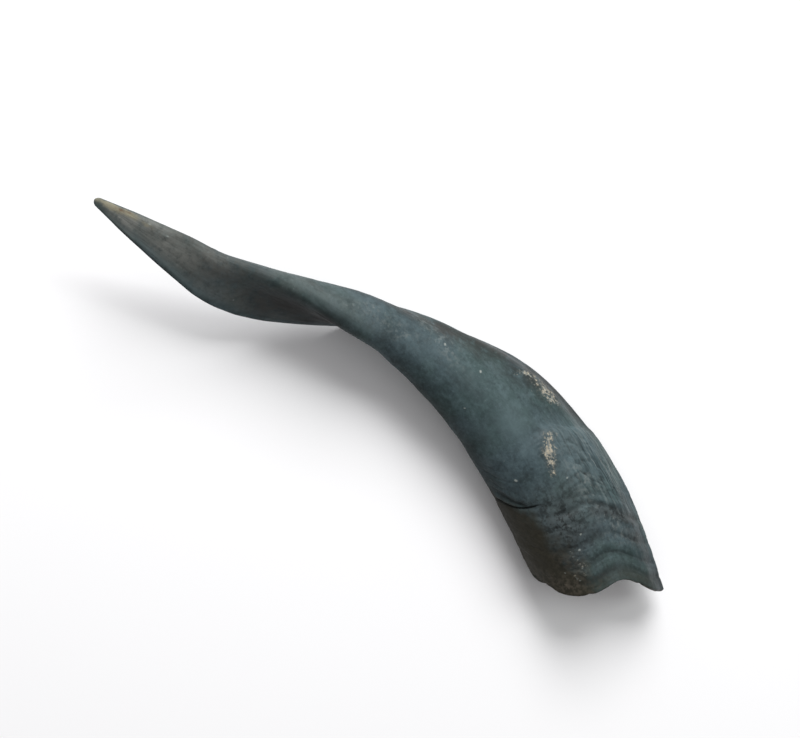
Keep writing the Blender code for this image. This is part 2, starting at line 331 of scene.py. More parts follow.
@dataclass(frozen=True)
class GrowthForms:
    """The collar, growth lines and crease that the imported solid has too."""

    collar_at: float = 0.076
    collar_height: float = 0.0012
    collar_rise: float = 0.005
    collar_length: float = 0.026
    collar_fades: tuple[float, float] = (70.0, 130.0)
    collar_back_share: float = 0.2
    collar_keel_share: float = 0.4
    rings: tuple[GrowthLine, ...] = (
        GrowthLine(0.0310, 0.011, 0.00050),
        GrowthLine(0.0210, 0.001, 0.00035),
        GrowthLine(0.0130, 0.000, 0.00040),
        GrowthLine(0.0060, 0.000, 0.00025),
    )
    ring_width: float = 0.0018
    ring_lip: float = 0.5
    ring_lip_setback: float = 0.0040
    ring_lip_width: float = 0.0025
    ring_fades: tuple[float, float] = (100.0, 150.0)
    ring_back_share: float = 0.35
    ring_keel_share: float = 0.25
    keel_fades: tuple[float, float] = (4.0, 32.0)   # relief is lower from the faces to the keel
    crease: GrowthLine = GrowthLine(0.0360, 0.011, 0.0010)
    crease_angle: float = 152.0
    crease_spread: float = 24.0

    @staticmethod
    def fade_to_back(angle: np.ndarray, between: tuple[float, float], left: float) -> np.ndarray:
        """Give 1 near the keel and the share left at the back edge, smooth between two angles."""
        return 1 - (1 - left) * rise(angle_from_keel(angle), *between)

    def fade_to_keel(self, angle: np.ndarray, left: float) -> np.ndarray:
        """Give 1 on the faces and the share left at the keel."""
        return left + (1 - left) * rise(angle_from_keel(angle), *self.keel_fades)

    def height(self, grown: np.ndarray, angle: np.ndarray) -> np.ndarray:
        """Give the height of these forms over the smooth sheath.

        Args:
            grown: distances from the rim.
            angle: places round the section, in radians.

        Returns:
            Heights, below 0 in a groove.
        """
        past_step = self.collar_at - grown
        collar = ease(past_step / self.collar_rise)
        collar = collar * (1 - ease((past_step - self.collar_rise) / self.collar_length))
        collar = collar * self.fade_to_keel(angle, self.collar_keel_share)
        fades = self.fade_to_back(angle, self.collar_fades, self.collar_back_share)
        relief = self.collar_height * collar * fades
        front = self.fade_to_back(angle, self.ring_fades, self.ring_back_share)
        front = front * self.fade_to_keel(angle, self.ring_keel_share)
        for ring in self.rings:
            past = ring.past(grown, angle)
            groove = np.exp(-(past / self.ring_width) ** 2)
            lip = np.exp(-((past + self.ring_lip_setback) / self.ring_lip_width) ** 2)
            relief = relief + ring.depth * front * (self.ring_lip * lip - groove)
        dent = np.exp(-(self.crease.past(grown, angle) / self.ring_width) ** 2)
        return relief - self.crease.depth * dent * hump(angle, self.crease_angle, self.crease_spread)


class Mark(Enum):
    """What a patch on the sheath is."""

    FLAKE = "flake"         # cream scurf that stands a little proud
    SPECK = "speck"         # a small pale chip
    SCUFF = "scuff"         # a dull, light rub; the one on the neck is partly a painted highlight
    WORN = "worn"           # beige horn worn bare
    STRIP = "strip"         # grey-brown weathering of the blade
    BROWN = "front_edge_shade"         # painted shade, dark brown-grey, along the front edge
    GRIME_AND_SHADE = "grime_and_shade"         # dark olive stain, partly painted shade on the base's back side
    DUST = "dust"           # light brown dust on the stain
    PAINTED_SHADE = "painted_shade"           # painted shade: darker slate along the back edge and at the keel
    SMOKE = "hollow_shade_and_dark_horn"         # painted shade in the blade's hollow, on horn that is darker there too
    SKY_REFLECTION = "sky"             # blue-grey horn, partly rubbed and partly a painted reflection of the sky on the lit faces
    FIBRE = "fibre"         # fibres laid bare
    BLOTCH = "blotch"       # pitted and stained skin
    PALE = "pale"           # horn that has faded to grey towards the tip
    RUST = "rust"           # small warm stain


class Part(Enum):
    """Where on the sheath a place is, and whether it is deep."""

    INSIDE = "inside"       # the wall of the hollow
    GROOVE_SHADE = "groove"       # low places in the relief, darkened as painted shade


@dataclass(frozen=True)
class Patch:
    """One soft-edged patch, given by its middle and its size."""

    grown: float            # distance from the rim, in mm
    angle: float            # degrees round the section
    length: float           # half-length along the horn, in mm
    breadth: float          # half-breadth round it, in degrees
    strength: float = 1.0
    slant: float = 0.0      # degrees of angle gained for each mm further from the rim

    def cover(self, grown: np.ndarray, angle: np.ndarray) -> np.ndarray:
        """Give how much of the patch is at each place.

        Args:
            grown: distances from the rim.
            angle: places round the section, in radians.

        Returns:
            The cover, highest in the patch's middle.
        """
        along = grown * 1000 - self.grown
        away = degrees_from(angle, self.angle + self.slant * along)
        return self.strength * np.exp(-(along / self.length) ** 2 - (away / self.breadth) ** 2)


PATCHES: dict[Mark, tuple[Patch, ...]] = {
    Mark.FLAKE: (
        Patch(104.5, 55, 3.5, 9, 0.90), Patch(98.5, 51, 4.5, 12, 0.98), Patch(94, 53, 4.5, 13, 1.04),
        Patch(89.5, 56, 3.5, 12, 0.96), Patch(69.5, 91, 4.0, 9, 1.05), Patch(65, 98, 4.5, 9, 1.2),
        Patch(60.5, 101, 3.5, 7, 1.15), Patch(57, 104, 2.5, 5, 0.85), Patch(12, 118, 5.0, 13, 0.55),
    ),
    Mark.SPECK: (
        Patch(204, 162, 1.1, 5, 0.6), Patch(172, 150, 0.9, 3.5, 0.8), Patch(149, 114, 0.9, 3, 0.75),
        Patch(143.5, 106, 1.2, 4, 0.8), Patch(119, 101, 1.0, 3, 0.85), Patch(112, 111, 1.1, 2.6, 0.8),
        Patch(111.6, 147, 0.8, 2.3, 0.9), Patch(59.8, 141, 0.9, 2.0, 1.0), Patch(50.3, 94, 0.7, 2.2, 0.7),
        Patch(26, 106, 0.8, 2, 0.7), Patch(20, 113, 0.8, 2.4, 0.7), Patch(18, 121, 0.7, 2, 0.6),
        Patch(11, 135, 0.7, 2, 0.6), Patch(7, 124, 0.7, 2, 0.6), Patch(294, 229, 1.2, 7, 0.9),
        Patch(284, 238, 1.0, 6, 0.75), Patch(244, 298, 1.0, 6, 0.6),
    ),
    Mark.SCUFF: (
        # The second patch here, on the neck, is partly a painted highlight along its lit middle.
        Patch(190, 150, 12, 10, 0.8, 1.4), Patch(146, 104, 16, 16, 0.8, -0.6), Patch(44, 78, 16, 12, 0.8),
        Patch(28, 68, 2.5, 7, 1.1), Patch(24, 70, 7, 16, 0.6), Patch(172, 147, 14, 16, 0.7, 1.0),
        Patch(288, 235, 14, 24, 0.9), Patch(265, 222, 16, 22, 0.5),
    ),
    Mark.WORN: (
        Patch(312, 236, 8, 44), Patch(319, 236, 6, 110, 0.75), Patch(303, 230, 7, 28, 0.95),
        Patch(294, 236, 5, 22, 0.65),
    ),
    Mark.STRIP: (
        Patch(268, 232, 48, 80), Patch(226, 280, 30, 50),
    ),
    # Painted shade along the front edge, which turns away from the light.
    Mark.BROWN: (
        Patch(84, 24, 10, 24, 0.6, 0.7), Patch(94, 14, 14, 26, 0.9, 0.7), Patch(100, 38, 16, 34, 1.0, 0.7),
        Patch(126, 50, 22, 30, 1.0, 0.72), Patch(146, 72, 16, 26, 1.0, 0.8),
        Patch(165, 88, 26, 22, 0.85, 0.9),
    ),
    # Olive grime, partly painted shade on the base's back side.
    Mark.GRIME_AND_SHADE: (
        Patch(2, 66, 5, 36, 0.65), Patch(2, 120, 5, 60, 0.6), Patch(20, 262, 34, 44, 0.45),
    ),
    Mark.DUST: (
        Patch(4, 140, 6, 34, 0.9), Patch(14, 128, 9, 18, 0.5), Patch(30, 165, 26, 40, 0.2),
    ),
    # Painted shade where the horn turns away from the light: along the back edge, at the keel by the rim
    # and near the tip.
    Mark.PAINTED_SHADE: (
        Patch(68, 182, 36, 22, 0.8), Patch(285, 352, 30, 18, 0.7), Patch(31, 66, 2.2, 34, 0.55),
        Patch(25, 50, 8, 26, 0.30), Patch(16, 38, 10, 22, 0.60), Patch(24, 100, 4, 24, 0.45),
        Patch(4, 23, 7, 24, 1.0), Patch(6, 76, 3, 18, 0.35), Patch(5.5, 100, 1.8, 20, 0.7),
        Patch(100, 4, 16, 30, 0.75), Patch(83, 14, 8, 22, 0.85), Patch(200, 196, 10, 22, 0.45),
        Patch(120, 190, 50, 26, 0.7),
    ),
    # Painted shade in the blade's hollow, over horn that is darker there too.
    Mark.SMOKE: (
        Patch(218, 262, 20, 44), Patch(228, 278, 15, 42, 0.6), Patch(205, 236, 13, 30, 0.95),
        Patch(203, 268, 14, 36, 1.0), Patch(209, 300, 10, 30, 0.8),
    ),
    # Painted reflection of the sky along the lit middle of body and neck, partly rubbed horn.
    Mark.SKY_REFLECTION: (
        Patch(65, 74, 10, 18, 1.35), Patch(38.5, 78, 3, 16, 0.9), Patch(48, 66, 10, 18, 0.8),
        Patch(51, 84, 9, 13, 1.1), Patch(90, 145, 13, 13, 0.8), Patch(88, 116, 15, 22, 1.1),
        Patch(197, 140, 8, 14, 0.6), Patch(130, 120, 34, 22, 0.7), Patch(205, 185, 24, 20, 0.6),
        Patch(250, 208, 24, 14, 0.35), Patch(70, 58, 9, 22, 1.2), Patch(160, 140, 30, 22, 0.5),
        Patch(298, 306, 10, 18, 1.5), Patch(284, 312, 14, 15, 1.4), Patch(268, 320, 14, 13, 1.1),
    ),
    Mark.FIBRE: (
        Patch(52, 46, 28, 26, 1.2), Patch(58, 72, 16, 18, 0.7),
    ),
    Mark.BLOTCH: (
        Patch(34, 118, 17, 28), Patch(31.5, 60, 3.5, 40, 1.1), Patch(23, 50, 3.5, 14, 1.0),
        Patch(65, 72, 7, 10, 0.3),
    ),
    Mark.PALE: (
        Patch(264, 222, 14, 40, 0.6), Patch(292, 232, 16, 50), Patch(281, 262, 19, 46, 0.95),
        Patch(303, 262, 10, 60, 1.2), Patch(256, 296, 18, 26, 0.30), Patch(215, 168, 30, 28, 0.20),
    ),
    Mark.RUST: (
        Patch(307.5, 231, 2.2, 12, 0.9), Patch(303, 219, 1.5, 8, 0.7),
    ),
}


@dataclass(frozen=True)
class OliveStainAndShade:
    """Dark olive dirt over the back of the base, up to the split fold; it is partly painted shade of this
    side, which faces away from the light.
    """

    edge_at_rim: float = 113.0          # degrees at which it starts
    edge_slant: float = 0.74            # degrees more for each mm further from the rim
    edge_soft: float = 26.0
    edge_waver: Grain = Grain(0.010, 0.008, 67.9, 3)
    waver_reach: float = 12.0
    far_edge: float = 300.0             # degrees at which it is gone on the inner face
    far_soft: float = 40.0
    ends: tuple[float, float] = (0.0405, 0.0465)
    end_soft_from: float = 177.0        # past this angle it fades out over a growing length
    end_softens: float = 0.0009
    end_waver: float = 0.0002           # metres for each degree that the edge wavers

    def cover(self, grown: np.ndarray, angle: np.ndarray) -> np.ndarray:
        """Give how much of the stain is at each place.

        Args:
            grown: distances from the rim.
            angle: places round the section, in radians.

        Returns:
            The cover, from 0 to 1.
        """
        degrees = np.degrees(angle)
        uneven = self.waver_reach * self.edge_waver.at(grown, angle)
        past = degrees + uneven - self.edge_at_rim - self.edge_slant * grown * 1000
        near = ease(past / self.edge_soft + 0.5) * ease((self.far_edge - degrees) / self.far_soft)
        first, last = self.ends
        last = last + self.end_softens * np.clip(degrees - self.end_soft_from, 0, None)
        return near * (1 - rise(grown - self.end_waver * uneven, first, last))


@dataclass(frozen=True)
class FineRelief:
    """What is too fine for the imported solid: lines, fibres, pits, flakes and the split fold."""

    lumps: Grain = Grain(0.020, 0.014, 3.1)
    lump_height: float = 0.00028
    waver: Grain = Grain(0.011, 0.012, 7.7)
    waver_reach: float = 0.0011         # how far the growth lines stray
    lines: Grain = Grain(0.0046, 0.060, 11.3, 3)
    line_sharpness: float = 7.0
    line_depth: float = 0.00026
    lines_fade: tuple[float, float] = (0.030, 0.085)
    lines_left: float = 0.18            # share that goes on towards the tip
    lines_at_back: tuple[float, float] = (95.0, 140.0)
    lines_back_share: float = 0.35
    fibres: Grain = Grain(0.022, 0.0016, 17.9, 2)
    fibre_height: float = 0.00006
    fibres_fade: tuple[float, float] = (0.120, 0.200)
    front_fibres: Grain = Grain(0.011, 0.0027, 23.3, 3)
    front_fibre_height: float = 0.00030
    front_fibre_middle: tuple[float, float] = (0.047, 48.0)
    front_fibre_spread: tuple[float, float] = (0.026, 26.0)
    cracks: Grain = Grain(0.0075, 0.0042, 61.3, 3)
    crack_depth: float = 0.00075
    crack_sharpness: float = 6.5
    crack_fill: float = 1.3             # above 1, the middle of the area is full of them
    crack_middle: tuple[float, float] = (0.058, 66.0)
    crack_spread: tuple[float, float] = (0.018, 24.0)
    pits: Grain = Grain(0.0028, 0.0024, 29.5, 2)
    pit_depth: float = 0.00034
    pit_threshold: float = 0.18
    pit_slope: float = 0.35
    pit_middle: tuple[float, float] = (0.034, 118.0)
    pit_spread: tuple[float, float] = (0.016, 30.0)
    pits_elsewhere: float = 0.16
    flake_edges: Grain = Grain(0.0030, 0.0024, 37.1, 3)
    flake_height: float = 0.00035
    flake_break: float = 0.5            # how much its edges' grain breaks up a flake
    flake_from: float = 0.35
    flake_slope: float = 0.3
    speck_height: float = 0.00020
    slit_at: tuple[float, float] = (0.0455, 138.0)
    slit_run: float = -0.00010          # metres nearer the rim for each degree towards the back
    slit_depth: float = 0.0015
    slit_width: float = 0.00060
    slit_between: tuple[float, float] = (128.0, 189.0)
    slit_ends: float = 12.0             # degrees over which it closes
    slit_widens: tuple[float, float] = (138.0, 172.0)
    slit_thin_share: float = 0.45       # width left at its thin end
    slit_stray: float = 0.3             # share of the growth lines' waver
    flap_height: float = 0.00035        # skin that stands proud on the slit's tip side
    flap_length: float = 0.0060
    folds: tuple[tuple[float, float, float], ...] = (
        (0.0490, 168.0, 14.0), (0.0530, 164.0, 12.0), (0.0590, 160.0, 15.0), (0.0640, 158.0, 10.0),
    )                                   # distance, angle, spread
    fold_depth: float = 0.00024
    fold_width: float = 0.0007
    fold_stray: float = 0.5

    def near(
        self, grown: np.ndarray, angle: np.ndarray,
        middle: tuple[float, float], spread: tuple[float, float],
    ) -> np.ndarray:
        """Give a soft spot, 1 in its middle, for relief that belongs to one area."""
        return np.exp(-((grown - middle[0]) / spread[0]) ** 2) * hump(angle, middle[1], spread[1])

    def stray(self, grown: np.ndarray, angle: np.ndarray) -> np.ndarray:
        """Give how far the growth lines run from their even course."""
        return self.waver_reach * self.waver.at(grown, angle)

    def growth_lines(self, grown: np.ndarray, angle: np.ndarray, stray: np.ndarray) -> np.ndarray:
        """Give many fine grooves parallel to the rim, strongest near it.

        Args:
            grown: distances from the rim.
            angle: places round the section, in radians.
            stray: how far the lines run from their even course.

        Returns:
            Heights, below 0 in a groove.
        """
        fade = 1 - (1 - self.lines_left) * rise(grown, *self.lines_fade)
        fade = fade * GrowthForms.fade_to_back(angle, self.lines_at_back, self.lines_back_share)
        groove = np.exp(-self.line_sharpness * np.abs(self.lines.at(grown + stray, angle)))
        return -self.line_depth * groove * fade

    def cracking(self, grown: np.ndarray, angle: np.ndarray) -> np.ndarray:
        """Give the branching cracks between the fibres behind the collar.

        Args:
            grown: distances from the rim.
            angle: places round the section, in radians.

        Returns:
            Heights, below 0 in a crack.
        """
        area = self.crack_fill * self.near(grown, angle, self.crack_middle, self.crack_spread)
        crack = np.exp(-self.crack_sharpness * np.abs(self.cracks.at(grown, angle)))
        return -self.crack_depth * np.clip(area, 0, 1) * crack

    def slit(self, grown: np.ndarray, angle: np.ndarray, stray: np.ndarray) -> np.ndarray:
        """Give the split fold near the back edge: a narrow slit, a raised flap and small folds.

        Args:
            grown: distances from the rim.
            angle: places round the section, in radians.
            stray: how far the growth lines run from their even course.

        Returns:
            Heights, below 0 in the slit and above 0 on the flap.
        """
        degrees = np.degrees(angle)
        first, last = self.slit_between
        reach = ease((degrees - first) / self.slit_ends) * ease((last - degrees) / self.slit_ends)
        widening = rise(degrees, *self.slit_widens)
        width = self.slit_width * (self.slit_thin_share + (1 - self.slit_thin_share) * widening)
        run = self.slit_at[0] + self.slit_run * (degrees - self.slit_at[1])
        past = grown - run + self.slit_stray * stray
        cut = self.slit_depth * np.exp(-(past / width) ** 2)
        lip = ease(past / width)
        flap = self.flap_height * lip * (1 - ease(past / self.flap_length))
        relief = (flap - cut) * reach
        for distance, middle, spread in self.folds:
            across = (grown + self.fold_stray * stray - distance) / self.fold_width
            relief = relief - self.fold_depth * np.exp(-across ** 2) * hump(angle, middle, spread)
        return relief

    def pitting(self, grown: np.ndarray, angle: np.ndarray) -> np.ndarray:
        """Give small pits, most of them in one area of the base.

        Args:
            grown: distances from the rim.
            angle: places round the section, in radians.

        Returns:
            Heights, below 0 in a pit.
        """
        area = self.pits_elsewhere + self.near(grown, angle, self.pit_middle, self.pit_spread)
        hole = ease((self.pits.at(grown, angle) - self.pit_threshold) / self.pit_slope)
        return -self.pit_depth * np.clip(area, 0, 1) * hole

    def height(
        self, grown: np.ndarray, angle: np.ndarray, flakes: np.ndarray, specks: np.ndarray
    ) -> np.ndarray:
        """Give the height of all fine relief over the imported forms.

        Args:
            grown: distances from the rim.
            angle: places round the section, in radians.
            flakes: cover of the scurf patches.
            specks: cover of the small chips.

        Returns:
            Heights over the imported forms.
        """
        stray = self.stray(grown, angle)
        fibres = (1 - rise(grown, *self.fibres_fade)) * self.fibres.at(grown, angle)
        front = self.near(grown, angle, self.front_fibre_middle, self.front_fibre_spread)
        broken = flakes + self.flake_break * self.flake_edges.at(grown, angle)
        crust = ease((broken - self.flake_from) / self.flake_slope)
        return (
            self.lump_height * self.lumps.at(grown, angle)
            + self.growth_lines(grown, angle, stray)
            + self.fibre_height * fibres
            + self.front_fibre_height * front * self.front_fibres.at(grown, angle)
            + self.cracking(grown, angle)
            + self.pitting(grown, angle)
            + self.slit(grown, angle, stray)
            + self.flake_height * crust
            + self.speck_height * specks
        )


@dataclass(frozen=True)
class RaggedRim:
    """The growing edge: rounded, and a little torn."""

    tear: Grain = Grain(1.0, 0.0045, 43.9, 3)
    tear_depth: float = 0.00025
    nicks: tuple[tuple[float, float, float], ...] = (
        (0.0005, 64.0, 2.2), (0.0005, 121.0, 3.0), (0.0006, 158.0, 2.5), (0.0011, 232.0, 4.0),
        (0.0014, 301.0, 3.0),
    )                                   # depth, angle, spread
    fades_over: float = 0.007
    bulge: float = 0.0005

    def setback(self, grown: np.ndarray, angle: np.ndarray) -> np.ndarray:
        """Give how far tears and nicks push the edge back, dying away from the rim.

        Args:
            grown: distances from the rim.
            angle: places round the section, in radians.

        Returns:
            Distances along the horn.
        """
        torn = self.tear_depth * np.abs(self.tear.at(np.zeros_like(angle), angle))
        for depth, middle, spread in self.nicks:
            torn = torn + depth * hump(angle, middle, spread)
        return torn * (1 - ease(grown / self.fades_over))


@dataclass
class SheathGrid:
    """Rings of places over the whole sheath, from the hollow's end over the rim to the tip."""

    grown: np.ndarray
    angle: np.ndarray
    share: np.ndarray
    inside: np.ndarray


@dataclass
class HornSheath:
    """The whole horn: one closed skin with its hollow, rim, body, neck and blade."""

    form: HornForm = field(default_factory=HornForm)
    forms: GrowthForms = field(default_factory=GrowthForms)
    fine: FineRelief = field(default_factory=FineRelief)
    rim: RaggedRim = field(default_factory=RaggedRim)
    # Olive stain over the back of the base, partly painted shade.
    olive_stain_and_shade: OliveStainAndShade = field(default_factory=OliveStainAndShade)
    columns: int = 240
    base_length: float = 0.092
    base_rows: int = 214
    tip_rows: int = 118
    tip_end_rows: int = 6
    rim_rows: int = 7
    hollow_rows: int = 56
    hollow_length: float = 0.190
    hollow_deepest: float = 0.98
    hollow_taper: float = 2.2
    hollow_round: float = 0.8
    wall_share: float = 0.80
    rim_share: float = 0.91
    rim_thin_length: float = 0.020
    core_ridges: Grain = Grain(0.030, 0.0026, 51.7, 3)
    core_ridge_height: float = 0.00030
    ring_stray: float = 0.7             # share of the fine lines' waver that the large forms follow
    tip_calm: float = 0.020             # fine relief dies away over the last of the tip
    groove_full: float = 0.0008         # depth from which a groove's painted shade is at its darkest
    groove_power: float = 1.2
    rest_turn: tuple[float, float, float] = (3.89, -16.44, 67.31)
    lift: Vector = field(default_factory=Vector)

    @property
    def turn(self) -> Matrix:
        """Rotation from the drawing's frame to the pose in which the horn lies."""
        return Euler([radians(a) for a in self.rest_turn], "XYZ").to_matrix()

    def to_rest(self, points: np.ndarray) -> np.ndarray:
        """Move points from the drawing's frame to where the horn lies."""
        return points @ np.array(self.turn).T + np.array(self.lift)

    def grid(self) -> SheathGrid:
        """Lay out the rings of places.

        Returns:
            The rings, from the hollow's end over the rim to the tip.
        """
        deep = np.linspace(self.hollow_deepest, 0, self.hollow_rows)
        past_thin = ease(deep * self.hollow_length / self.rim_thin_length)
        thinned = (self.rim_share - self.wall_share) * (1 - past_thin)
        narrowed = (1 - deep ** self.hollow_taper) ** self.hollow_round
        hollow = deep * self.hollow_length, (self.wall_share + thinned) * narrowed, np.ones_like(deep)

        turn = np.linspace(0, np.pi, self.rim_rows + 2)[1:-1]
        middle, half = (1 + self.rim_share) / 2, (1 - self.rim_share) / 2
        edge = -self.rim.bulge * np.sin(turn), middle - half * np.cos(turn), (1 + np.cos(turn)) / 2

        base = np.linspace(0, self.base_length, self.base_rows, endpoint=False)
        body_end = self.form.length - self.form.tip_radius
        tip = np.linspace(self.base_length, body_end, self.tip_rows)
        bend = np.linspace(0, np.pi / 2, self.tip_end_rows + 2)[1:-1]
        outer = np.concatenate([base, tip, body_end + self.form.tip_radius * np.sin(bend)])
        outside = outer, np.ones_like(outer), np.zeros_like(outer)

        grown, share, inside = (np.concatenate(parts) for parts in zip(hollow, edge, outside))
        angle = np.arange(self.columns) * 2 * np.pi / self.columns
        full = np.ones((len(grown), self.columns))
        return SheathGrid(
            grown[:, None] * full, angle * full, share[:, None] * full, inside[:, None] * full
        )

    def find_lift(self, grid: SheathGrid) -> None:
        """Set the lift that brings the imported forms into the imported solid's box.

        Args:
            grid: the sheath's rings of places.
        """
        outer = grid.inside[:, 0] == 0
        grown, angle = grid.grown[outer], grid.angle[outer]
        points = self.form.points(grown, angle, grid.share[outer], self.forms.height(grown, angle))
        turned = (points @ np.array(self.turn).T).reshape(-1, 3)
        low, high = turned.min(axis=0), turned.max(axis=0)
        cad_low, cad_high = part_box("horn")
        middle = (cad_low + cad_high) / 2
        self.lift = Vector((
            middle.x - (low[0] + high[0]) / 2, middle.y - (low[1] + high[1]) / 2, cad_low.z - low[2],
        ))

    def cover(self, mark: Mark, grid: SheathGrid) -> np.ndarray:
        """Give the cover of all patches of one mark, on the outside alone.

        Args:
            mark: what the patches are.
            grid: the sheath's rings of places.

        Returns:
            The cover at each place, with the olive stain, partly painted shade, added to the grime.
        """
        total = np.zeros_like(grid.grown)
        for patch in PATCHES[mark]:
            total = np.maximum(total, patch.cover(grid.grown, grid.angle))
        # The olive stain is partly painted shade of the base's back side.
        if mark is Mark.GRIME_AND_SHADE:
            total = np.maximum(total, self.olive_stain_and_shade.cover(grid.grown, grid.angle))
        return total * (1 - grid.inside)

    def build(self) -> bpy.types.Object:
        """Make the sheath's mesh with its masks.

        Returns:
            The object, not yet dressed.
        """
        grid = self.grid()
        self.find_lift(grid)
        covers = {mark: self.cover(mark, grid) for mark in Mark}
        calm = ease((self.form.length - grid.grown) / self.tip_calm)
        fine = calm * self.fine.height(grid.grown, grid.angle, covers[Mark.FLAKE], covers[Mark.SPECK])
        ridges = self.core_ridge_height * self.core_ridges.at(grid.grown, grid.angle)
        stray = self.ring_stray * self.fine.stray(grid.grown, grid.angle)
        large = self.forms.height(grid.grown + stray, grid.angle)
        relief = (large + fine) * (1 - grid.inside) + ridges * grid.inside
        grown = grid.grown + self.rim.setback(grid.grown, grid.angle)
        points = self.to_rest(self.form.points(grown, grid.angle, grid.share, relief))
        points[..., 2] = np.maximum(points[..., 2], 0)
        horn = self.mesh_object(points)
        self.write_masks(horn.data, grid, covers, relief)
        return horn

    def mesh_object(self, points: np.ndarray) -> bpy.types.Object:
        """Join the rings into one closed mesh that faces outwards.

        Args:
            points: the rings' points, from the hollow's end to the tip.

        Returns:
            The object, linked to the scene.
        """
        rings = len(points)
        start = np.arange(self.columns)
        after = (start + 1) % self.columns
        low = (np.arange(rings - 1) * self.columns)[:, None]
        high = low + self.columns
        quads = np.stack([low + start, high + start, high + after, low + after], axis=-1)
        end = np.full(1, self.form.length)
        tip = self.to_rest(self.form.points(end, np.zeros(1), np.zeros(1), np.zeros(1)))[0]
        hollow_end = points[0].mean(axis=0)
        spots = np.concatenate([points.reshape(-1, 3), [hollow_end, tip]])
        faces = quads.reshape(-1, 4).tolist()
        first, last = rings * self.columns, (rings - 1) * self.columns
        faces += [(int(a), int(b), first) for a, b in zip(start, after)]
        faces += [(last + int(b), last + int(a), first + 1) for a, b in zip(start, after)]
        mesh = bpy.data.meshes.new("horn_sheath")
        mesh.from_pydata(spots.tolist(), [], faces)
        mesh.validate()
        mesh.shade_smooth()
        horn = bpy.data.objects.new("horn_sheath", mesh)
        bpy.context.scene.collection.objects.link(horn)
        return horn

    def write_masks(
        self, mesh: bpy.types.Mesh, grid: SheathGrid, covers: dict[Mark, np.ndarray], relief: np.ndarray
    ) -> None:
        """Keep the patches, the hollow, the grooves' painted shade and the place on the mesh's points.

        Args:
            mesh: the sheath's mesh.
            grid: its rings of places.
            covers: cover of each kind of patch.
            relief: height over the smooth form.
        """
        # Painted shade in the grooves, cracks and pits: darker the deeper they lie.
        groove = np.clip(-relief / self.groove_full, 0, 1) ** self.groove_power * (1 - grid.inside)
        for mask, values in {**covers, Part.INSIDE: grid.inside, Part.GROOVE_SHADE: groove}.items():
            layer = mesh.attributes.new(mask.value, "FLOAT", "POINT")
            ends = values[0, 0], values[-1, 0]
            layer.data.foreach_set("value", np.concatenate([values.ravel(), ends]).astype(np.float32))
        radius = self.form.half_width(grid.grown)
        place = np.stack([
            grid.grown, np.cos(grid.angle) * radius, np.sin(grid.angle) * radius,
        ], axis=-1).reshape(-1, 3)
        place = np.concatenate([place, [[self.hollow_length, 0, 0], [self.form.length, 0, 0]]])
        layer = mesh.attributes.new("place", "FLOAT_VECTOR", "POINT")
        layer.data.foreach_set("vector", place.astype(np.float32).ravel())


@dataclass(frozen=True)
class Swells:
    """A noise in the skin, given by the length of one swell."""

    size: float
    detail: float = 4
    rough: float = 0.55
    across: float = 0.0     # length of one swell round the horn, where it differs


@dataclass
class Wiring:
    """The node tree of one material, with short calls that add and join its nodes."""

    tree: bpy.types.NodeTree
    noises: dict[Swells, bpy.types.NodeSocket] = field(default_factory=dict)

    def node(self, kind: str, values: dict[str | int, object], **settings: object) -> bpy.types.Node:
        """Add a node.

        Args:
            kind: the node's type.
            values: what goes into its inputs, sockets or plain values.
            settings: its other properties.

        Returns:
            The new node.
        """
        made = self.tree.nodes.new(kind)
        for name, value in settings.items():
            setattr(made, name, value)
        for name, value in values.items():
            if isinstance(value, bpy.types.NodeSocket):
                self.tree.links.new(value, made.inputs[name])
            else:
                made.inputs[name].default_value = value
        return made

    def mask(self, mask: Mark | Part) -> bpy.types.NodeSocket:
        """Read a mask kept on the mesh."""
        return self.node("ShaderNodeAttribute", {}, attribute_name=mask.value).outputs["Fac"]

    def noise(self, swells: Swells) -> bpy.types.NodeSocket:
        """Read a noise, which is added once and shared.

        Args:
            swells: the noise's size and detail. With a size across it runs along the sheath,
                and without one it is even in all directions.

        Returns:
            The noise, mostly between 0.2 and 0.8.
        """
        if swells in self.noises:
            return self.noises[swells]
        if swells.across:
            at = self.node("ShaderNodeAttribute", {}, attribute_name="place").outputs["Vector"]
            scale = 1 / swells.size, 1 / swells.across, 1 / swells.across
        else:
            at = self.node("ShaderNodeTexCoord", {}).outputs["Object"]
            scale = (1 / swells.size,) * 3
        at = self.node("ShaderNodeVectorMath", {0: at, 1: scale}, operation="MULTIPLY").outputs[0]
        values = {"Vector": at, "Scale": 1.0, "Detail": swells.detail, "Roughness": swells.rough}
        self.noises[swells] = self.node("ShaderNodeTexNoise", values).outputs["Fac"]
        return self.noises[swells]

    def math(self, operation: str, *values: object) -> bpy.types.NodeSocket:
        """Add one sum on numbers."""
        return self.node("ShaderNodeMath", dict(enumerate(values)), operation=operation).outputs[0]

    def between(self, value: object, low: float, high: float) -> bpy.types.NodeSocket:
        """Rise smoothly from 0 at low to 1 at high."""
        values = {"Value": value, "From Min": low, "From Max": high}
        return self.node("ShaderNodeMapRange", values, interpolation_type="SMOOTHSTEP").outputs["Result"]

    def blend(self, share: object, first: object, second: object) -> bpy.types.NodeSocket:
        """Mix two colours.

        Args:
            share: how much of the second colour there is.
            first: a colour, or a socket that gives one.
            second: a colour, or a socket that gives one.

        Returns:
            The mixed colour.
        """
        made = self.node("ShaderNodeMix", {0: share}, data_type="RGBA")
        for socket, colour in zip(made.inputs[6:8], (first, second)):
            if isinstance(colour, bpy.types.NodeSocket):
                self.tree.links.new(colour, socket)
            else:
                socket.default_value = (*colour, 1.0)
        return made.outputs[2]


